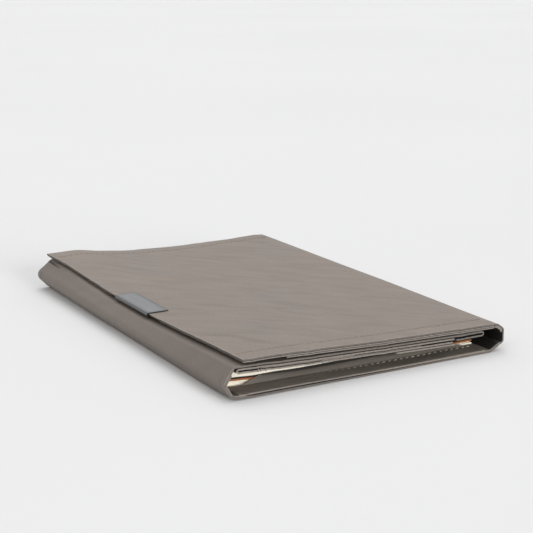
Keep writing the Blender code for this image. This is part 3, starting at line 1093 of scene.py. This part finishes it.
def make_studio():
    bpy.ops.mesh.primitive_plane_add(size=60, location=(0, 0, TABLE_Z - 0.03 * MM))
    floor = bpy.context.object
    floor.name = "studio_floor"
    material, tree, shader = start_material("studio_paper")
    place = add(tree, "ShaderNodeTexCoord")
    soft = add(tree, "ShaderNodeTexNoise", {"Vector": place.outputs["Object"], "Scale": 3.0, "Detail": 2})
    base = ramp(tree, soft.outputs["Fac"], [(0.2, (0.80, 0.80, 0.805)), (0.8, (0.82, 0.82, 0.822))])
    tree.links.new(base, shader.inputs["Base Color"])
    shader.inputs["Roughness"].default_value = 1.0
    shader.inputs["Specular IOR Level"].default_value = 0.0
    floor.data.materials.append(material)

    world = bpy.data.worlds.new("studio_world")
    bpy.context.scene.world = world
    world.use_nodes = True
    tree = world.node_tree
    background = tree.nodes["Background"]
    way = add(tree, "ShaderNodeTexCoord")
    parts = add(tree, "ShaderNodeSeparateXYZ", {"Vector": way.outputs["Generated"]})
    sky = ramp(tree, parts.outputs["Z"], [(0.0, grey(0.45)), (1.0, grey(0.6))])
    to_right = maths(tree, "MULTIPLY", parts.outputs["X"], 0.05)
    to_back = maths(tree, "MULTIPLY", parts.outputs["Y"], 0.6)
    uneven = maths(tree, "ADD", maths(tree, "ADD", to_right, to_back), 1.0)
    sky = blend_colours(tree, 1.0, sky, uneven, "MULTIPLY")
    rays = add(tree, "ShaderNodeLightPath")
    seen = blend_colours(tree, rays.outputs["Is Camera Ray"], sky, grey(0.85))
    tree.links.new(seen, background.inputs["Color"])
    background.inputs["Strength"].default_value = 1.0

    for name, energy, spread, source in (
        ("overhead_softbox", 0.78, 60, (0.1, 0.15, 1.0)),
        ("near_softbox", 2.5, 26, (0.12, -0.97, 0.2)),
        ("left_softbox", 0.55, 50, (-0.75, -0.35, 0.6)),
    ):
        light = bpy.data.lights.new(name, "SUN")
        light.energy = energy
        light.angle = math.radians(spread)
        lamp = bpy.data.objects.new(name, light)
        lamp.rotation_euler = Vector(source).to_track_quat("Z", "Y").to_euler()
        bpy.context.scene.collection.objects.link(lamp)

    bpy.context.scene.view_settings.view_transform = "Standard"


def make_camera():
    data = bpy.data.cameras.new("studio_camera")
    data.lens = 88.68
    data.sensor_width = 36
    data.clip_start = 0.01
    data.clip_end = 100
    camera = bpy.data.objects.new("studio_camera", data)
    yaw, pitch, roll = (math.radians(x) for x in (29.0, 13.513, 0.570))
    forward = Vector((math.sin(yaw) * math.cos(pitch), math.cos(yaw) * math.cos(pitch), -math.sin(pitch)))
    right = Vector((math.cos(yaw), -math.sin(yaw), 0))
    down = forward.cross(right)
    tilted_right = math.cos(roll) * right + math.sin(roll) * down
    tilted_down = math.cos(roll) * down - math.sin(roll) * right
    axes = Matrix((tilted_right, -tilted_down, -forward)).transposed().to_4x4()
    camera.matrix_world = Matrix.Translation(at(-158.88, -306.77, 121.60)) @ axes
    bpy.context.scene.collection.objects.link(camera)
    bpy.context.scene.camera = camera


def lower_bottom(u, v):
    return 0.97 + lift(u, v)


spine_swell = through([(0, 1.5), (5, 1.3), (14, 0.6), (26, 0.05), (40, 0.0)])


def over_lower(u, v):
    """How far the lower booklet stands above its height at the middle, over its folded edge."""
    return spine_swell(min(u, 40)) + 0.12 * smooth((u - 78) / 10) * (1 - smooth(v / 60))


def lower_top(u, v):
    return 2.28 + over_lower(u, v)


def upper_bottom(u, v):
    on_pocket = max(smooth((u - 8) / 12) * (1 - smooth((u - 80) / 5)), smooth((v - 9) / 6))
    return lower_top(u, v) + 0.1 + 0.6 * on_pocket


def upper_top(u, v):
    room = front_top(min(u, 86), v) - SHEET - PANEL_GAP - 2 * LOOP_RADIUS - 0.35
    return max(min(mix(6.6, 4.4, (u - 1) / 88), room), upper_bottom(u, v) + 0.9)


make_camera()
make_studio()
make_outer_sheet()
make_inner_sheets()
make_back_inside()
make_shoulder_hem()
make_booklet("lower_booklet", "lower_booklet", lower_bottom, lower_top, 9, 0.5, CREAM, KRAFT)
# The upper booklet's cover is near black underneath, which draws the dark line below its pages.
make_booklet(
    "upper_booklet", "upper_booklet", upper_bottom, upper_top, 10, 0.3, DARK_CARD, CREAM
)
make_clip()
make_magnet()
make_hem_stitches()
make_bar_tacks()

bpy.context.view_layer.update()
